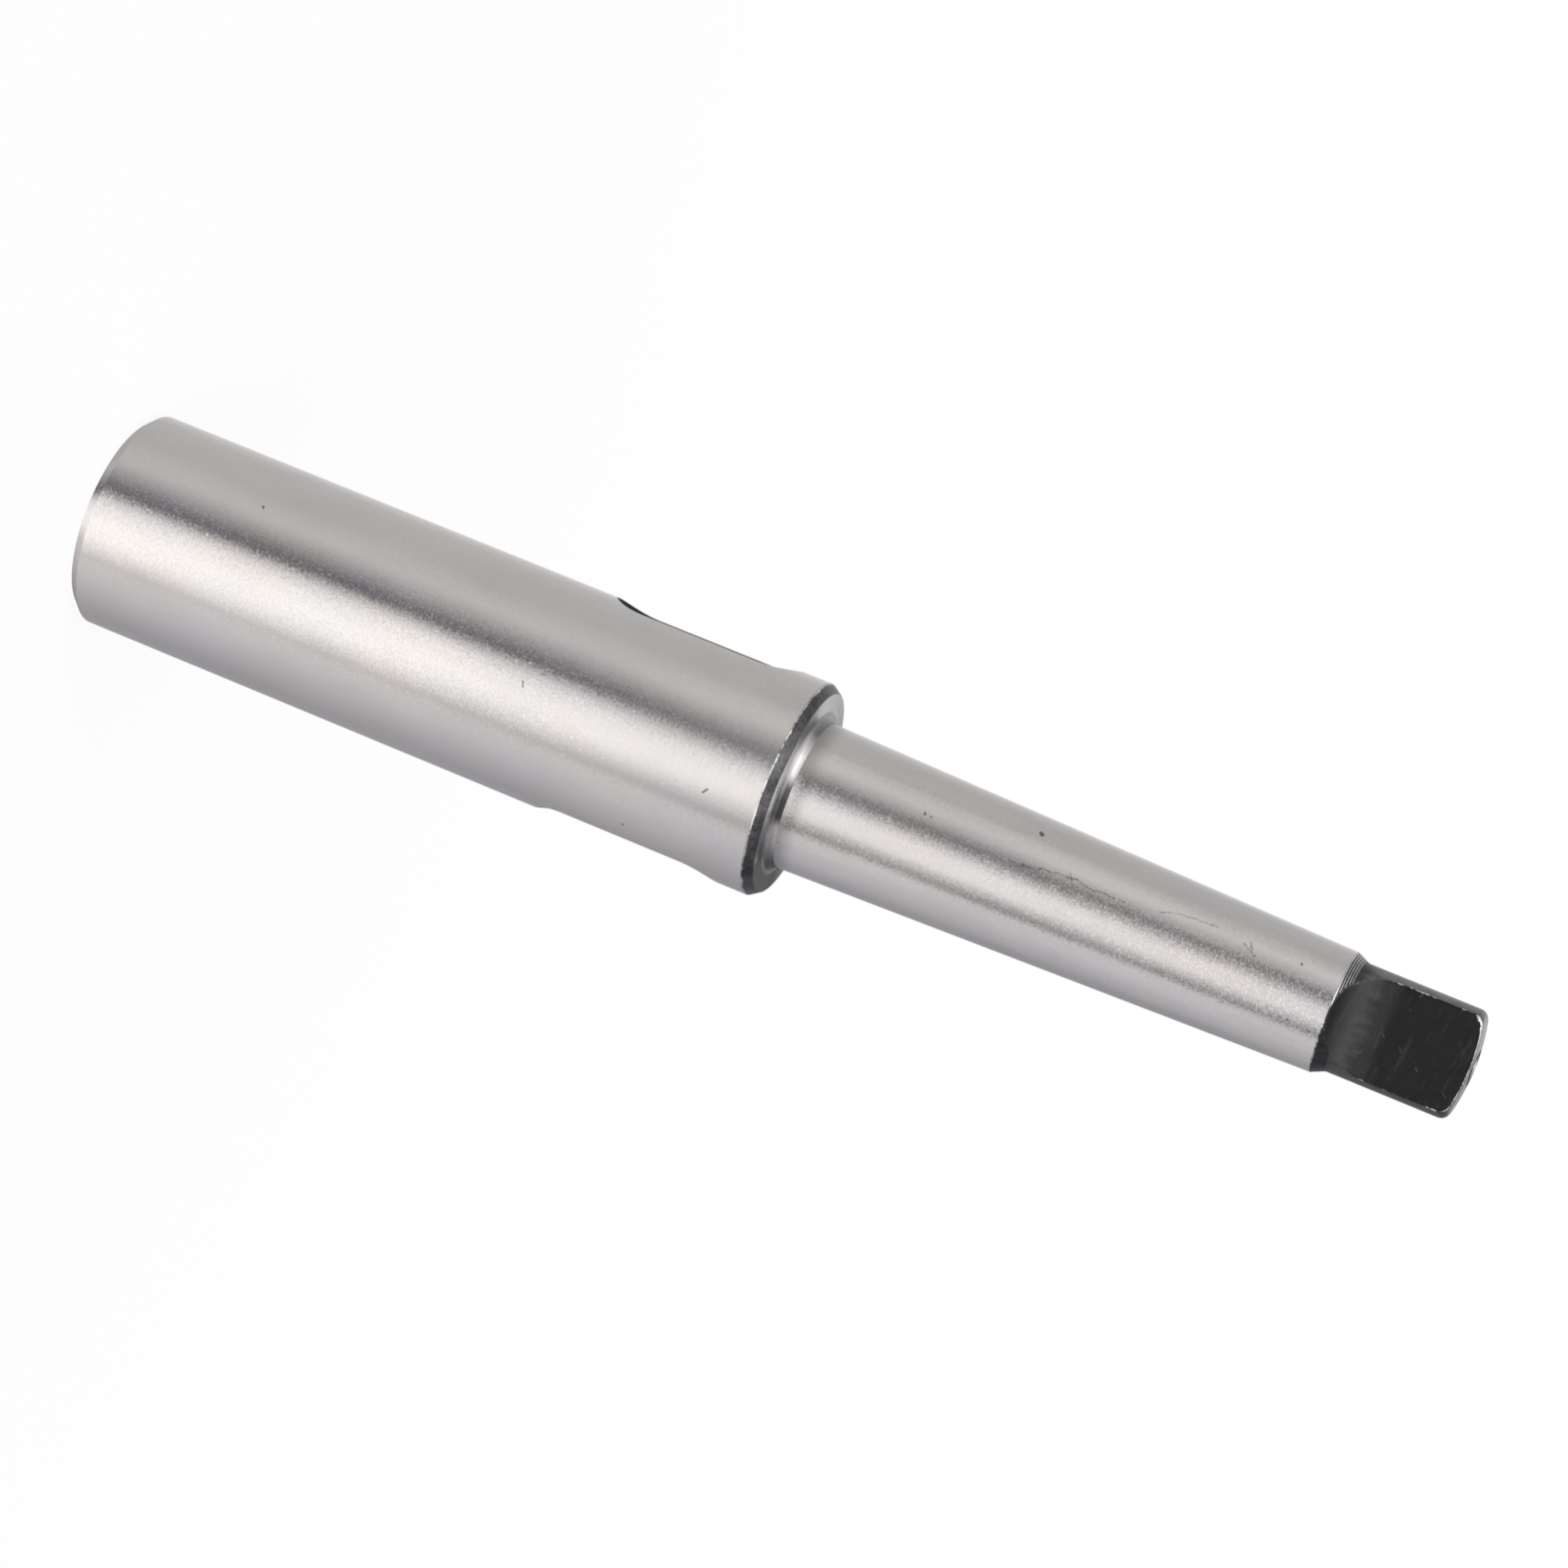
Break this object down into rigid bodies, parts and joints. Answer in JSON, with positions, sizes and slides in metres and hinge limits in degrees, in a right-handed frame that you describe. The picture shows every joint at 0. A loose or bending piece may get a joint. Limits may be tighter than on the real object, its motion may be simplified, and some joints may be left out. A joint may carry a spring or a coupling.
{
  "type": "taper sleeve",
  "caption": "Steel taper sleeve with a ground tapered shank and milled tang, a taper socket in the body, and a cross slot for the drift that knocks the tool out.",
  "frame": {"origin": "centre of the mouth face, on the surface that the sleeve stands on", "axes": "+Z along the axis from the mouth face to the tang, +X through the drift slot, +Y square to the flats of the tang"},
  "size_m": [0.0264, 0.0264, 0.1738],
  "materials": {
    "steel": "fine ground steel, with black oxide left on the tang, the neck, the shoulder chamfer and inside the slot"
  },
  "bodies": {
    "root": {"sleeve": "steel"}
  },
  "joints": []
}
